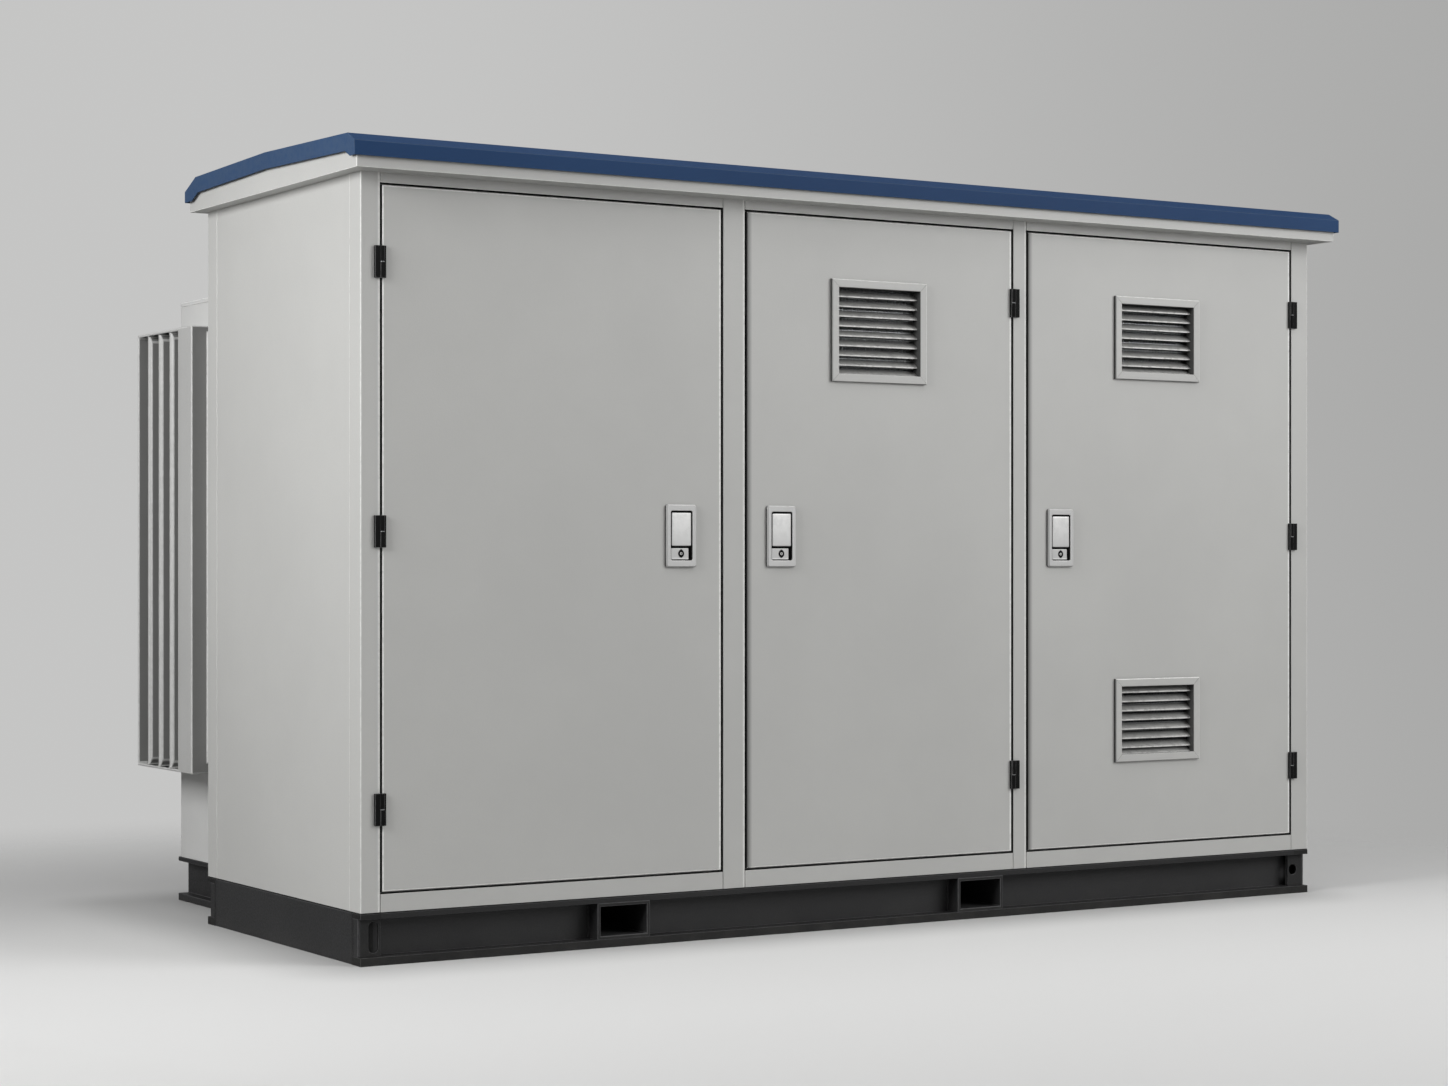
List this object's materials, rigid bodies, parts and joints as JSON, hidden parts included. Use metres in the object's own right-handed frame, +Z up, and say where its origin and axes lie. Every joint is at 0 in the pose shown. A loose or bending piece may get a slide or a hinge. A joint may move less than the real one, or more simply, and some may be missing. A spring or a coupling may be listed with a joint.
{
  "type": "compact substation",
  "caption": "Skid-mounted compact substation: light-grey steel cabinet with hinged doors, louvred vents and a blue roof cap, and a finned oil transformer behind.",
  "frame": {"origin": "on the floor under the middle of the whole unit", "axes": "+X along the doors from left to right, +Y from the doors to the transformer, +Z up"},
  "size_m": [3.507, 1.972, 2.242],
  "materials": {
    "light_grey_paint": "satin powder coat with fine orange peel",
    "blue_roof_paint": "satin blue coat",
    "black_skid_paint": "matt black chassis coat",
    "black_hinge": "black powder-coated die casting",
    "satin_latch_metal": "satin silver-grey casting",
    "tank_paint": "light grey coat on rolled and welded sheet",
    "galvanised_floor": "plain galvanised sheet"
  },
  "bodies": {
    "enclosure": {"base_front_channel": "black_skid_paint", "base_rear_channel": "black_skid_paint", "base_end_plates": "black_skid_paint", "base_corner_plates": "black_skid_paint", "forklift_pockets": "black_skid_paint", "base_cross_beams": "black_skid_paint", "rear_skid_beams": "black_skid_paint", "rear_skid_crossbeams": "black_skid_paint", "front_left_post": "light_grey_paint", "mid_post_left": "light_grey_paint", "mid_post_right": "light_grey_paint", "front_right_post": "light_grey_paint", "rear_left_post": "light_grey_paint", "rear_right_post": "light_grey_paint", "door_sills": "light_grey_paint", "door_headers": "light_grey_paint", "left_wall": "light_grey_paint", "right_wall": "light_grey_paint", "rear_wall": "light_grey_paint", "floor_plate": "galvanised_floor", "roof_cap": "blue_roof_paint", "roof_frame": "light_grey_paint", "transformer_tank": "tank_paint", "tank_lid": "tank_paint", "lifting_lugs": "tank_paint", "bushing_duct": "tank_paint", "left_radiator": "tank_paint", "right_radiator": "tank_paint", "rear_radiator": "tank_paint", "door_1_frame_leaves": "black_hinge", "door_2_frame_leaves": "black_hinge", "door_3_frame_leaves": "black_hinge"},
    "door_1": {"door_1": "light_grey_paint", "door_1_hinge_leaves": "black_hinge", "door_1_latch": "satin_latch_metal"},
    "door_2": {"door_2": "light_grey_paint", "door_2_hinge_leaves": "black_hinge", "door_2_latch": "satin_latch_metal", "door_2_vent": "light_grey_paint"},
    "door_3": {"door_3": "light_grey_paint", "door_3_hinge_leaves": "black_hinge", "door_3_latch": "satin_latch_metal", "door_3_top_vent": "light_grey_paint", "door_3_bottom_vent": "light_grey_paint"},
    "paddle_1": {"door_1_paddle": "satin_latch_metal"},
    "paddle_2": {"door_2_paddle": "satin_latch_metal"},
    "paddle_3": {"door_3_paddle": "satin_latch_metal"}
  },
  "joints": [
    {"name": "door_1_hinge", "type": "hinge", "parent": "enclosure", "child": "door_1", "pos_m": [-1.6355, -0.90525, 1.16], "axis": [0, 0, -1], "range_deg": [0, 100]},
    {"name": "door_2_hinge", "type": "hinge", "parent": "enclosure", "child": "door_2", "pos_m": [0.4845, -0.90525, 1.16], "axis": [0, 0, 1], "range_deg": [0, 100]},
    {"name": "door_3_hinge", "type": "hinge", "parent": "enclosure", "child": "door_3", "pos_m": [1.6215, -0.90525, 1.16], "axis": [0, 0, 1], "range_deg": [0, 100]},
    {"name": "paddle_1_pivot", "type": "hinge", "parent": "door_1", "child": "paddle_1", "pos_m": [-0.7015, -0.904, 1.221], "axis": [-1, 0, 0], "range_deg": [0, 35], "stiffness_Nm_per_rad": 0.4},
    {"name": "paddle_2_pivot", "type": "hinge", "parent": "door_2", "child": "paddle_2", "pos_m": [-0.3615, -0.904, 1.221], "axis": [-1, 0, 0], "range_deg": [0, 35], "stiffness_Nm_per_rad": 0.4},
    {"name": "paddle_3_pivot", "type": "hinge", "parent": "door_3", "child": "paddle_3", "pos_m": [0.6665, -0.904, 1.221], "axis": [-1, 0, 0], "range_deg": [0, 35], "stiffness_Nm_per_rad": 0.4}
  ]
}
